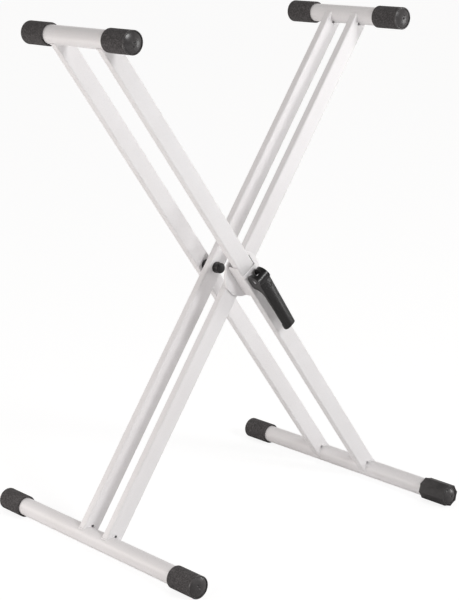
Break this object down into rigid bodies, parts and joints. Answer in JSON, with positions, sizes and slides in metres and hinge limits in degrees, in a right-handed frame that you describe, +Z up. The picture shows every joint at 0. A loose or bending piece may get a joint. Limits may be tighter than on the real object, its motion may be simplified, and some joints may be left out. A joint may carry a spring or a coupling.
{
  "type": "folding keyboard stand",
  "caption": "Folding X stand for keyboards: crossed double-tube frames with sleeved rests and feet, a lever-clamped pivot and a levelling foot.",
  "frame": {"origin": "on the floor, below the pivot axis and midway along the bars", "axes": "+Z up; +X to the right across the X of the legs; -Y towards the side of the clamp lever; the bars and the pivot axis lie along Y"},
  "size_m": [0.6344, 0.545, 0.8893],
  "materials": {
    "frame_paint": "white powder coat, half gloss",
    "sleeve_rubber": "matt, fine rough texture",
    "plug_plastic": "smooth satin",
    "black_plastic": "moulded satin black",
    "bright_steel": "zinc plated"
  },
  "bodies": {
    "outer_frame": {"outer_leg_front": "frame_paint", "outer_leg_rear": "frame_paint", "outer_top_bar": "frame_paint", "outer_foot_bar": "frame_paint", "outer_top_sleeve_front": "sleeve_rubber", "outer_top_sleeve_rear": "sleeve_rubber", "outer_foot_sleeve_rear": "sleeve_rubber", "outer_top_plug_front": "plug_plastic", "outer_top_plug_rear": "plug_plastic", "outer_foot_plug_rear": "plug_plastic", "levelling_plug": "plug_plastic", "outer_bush_front": "bright_steel", "outer_bush_rear": "bright_steel", "draw_bolt": "bright_steel", "draw_bolt_nut_washer": "bright_steel", "draw_bolt_nut": "bright_steel", "draw_bolt_nut_cap": "black_plastic", "rear_bolt": "bright_steel", "rear_bolt_head_washer": "bright_steel", "rear_spacer": "black_plastic", "rear_bolt_nut_washer": "bright_steel", "rear_bolt_nut": "bright_steel", "rear_bolt_nut_cap": "black_plastic"},
    "inner_frame": {"inner_leg_front": "frame_paint", "inner_leg_rear": "frame_paint", "inner_top_bar": "frame_paint", "inner_foot_bar": "frame_paint", "inner_top_sleeve_front": "sleeve_rubber", "inner_top_sleeve_rear": "sleeve_rubber", "inner_foot_sleeve_front": "sleeve_rubber", "inner_foot_sleeve_rear": "sleeve_rubber", "inner_top_plug_front": "plug_plastic", "inner_top_plug_rear": "plug_plastic", "inner_foot_plug_front": "plug_plastic", "inner_foot_plug_rear": "plug_plastic", "inner_bush_front": "bright_steel", "inner_bush_rear": "bright_steel", "clamp_disc": "frame_paint"},
    "saddle": {"clamp_saddle": "frame_paint"},
    "lever": {"clamp_lever": "black_plastic", "clamp_pin": "bright_steel"},
    "collar": {"levelling_collar": "black_plastic"}
  },
  "joints": [
    {"name": "frame_fold", "type": "hinge", "parent": "outer_frame", "child": "inner_frame", "pos_m": [0, 0, 0.44464], "axis": [0, 1, 0], "range_deg": [-65, 44]},
    {"name": "lever_swing", "type": "hinge", "parent": "outer_frame", "child": "lever", "pos_m": [0, -0.0882, 0.44464], "axis": [-0.8192, 0, -0.5736], "range_deg": [0, 100]},
    {"name": "saddle_release", "type": "slide", "parent": "outer_frame", "child": "saddle", "axis": [0, -1, 0], "range_m": [0, 0.0009]},
    {"name": "collar_turn", "type": "hinge", "parent": "outer_frame", "child": "collar", "pos_m": [0.29769, -0.24, 0.0195], "axis": [0, 1, 0], "continuous": true}
  ],
  "couplings": [
    {"joint": "saddle_release", "follows": "lever_swing", "m_per_rad": 0.000515}
  ]
}
